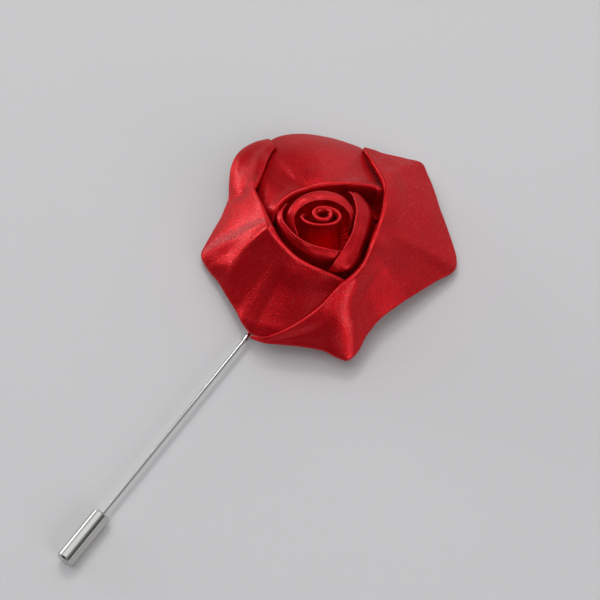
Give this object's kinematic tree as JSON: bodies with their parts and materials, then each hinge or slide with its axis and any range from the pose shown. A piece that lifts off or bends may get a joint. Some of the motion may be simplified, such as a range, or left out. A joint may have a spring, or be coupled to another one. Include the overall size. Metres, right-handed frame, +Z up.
{
  "type": "flower lapel pin",
  "caption": "Stick lapel pin with a rose folded from wide satin ribbon, a long straight needle and a pull-off cylinder cap.",
  "frame": {"origin": "on the needle's axis where it leaves the edge of the rose, from where the cloth of a lapel goes on the needle", "axes": "+Z up, out of the face of the rose; -Y along the needle to its point and cap; +X to the right of the needle seen from above"},
  "size_m": [0.0511, 0.1091, 0.0155],
  "materials": {
    "satin": "glossy red satin ribbon",
    "needle_steel": "bright drawn wire",
    "cap_metal": "turned and lightly brushed"
  },
  "bodies": {
    "flower": {"core_roll": "satin", "inner_petal_back": "satin", "inner_petal_left": "satin", "inner_petal_right": "satin", "outer_petal_top": "satin", "outer_petal_left": "satin", "outer_petal_right": "satin", "gathered_base": "satin", "stick_pin": "needle_steel"},
    "cap": {"pin_cap": "cap_metal"}
  },
  "joints": [
    {"name": "cap_slide", "type": "slide", "parent": "flower", "child": "cap", "axis": [0, -1, 0], "range_m": [0, 0.03]}
  ]
}
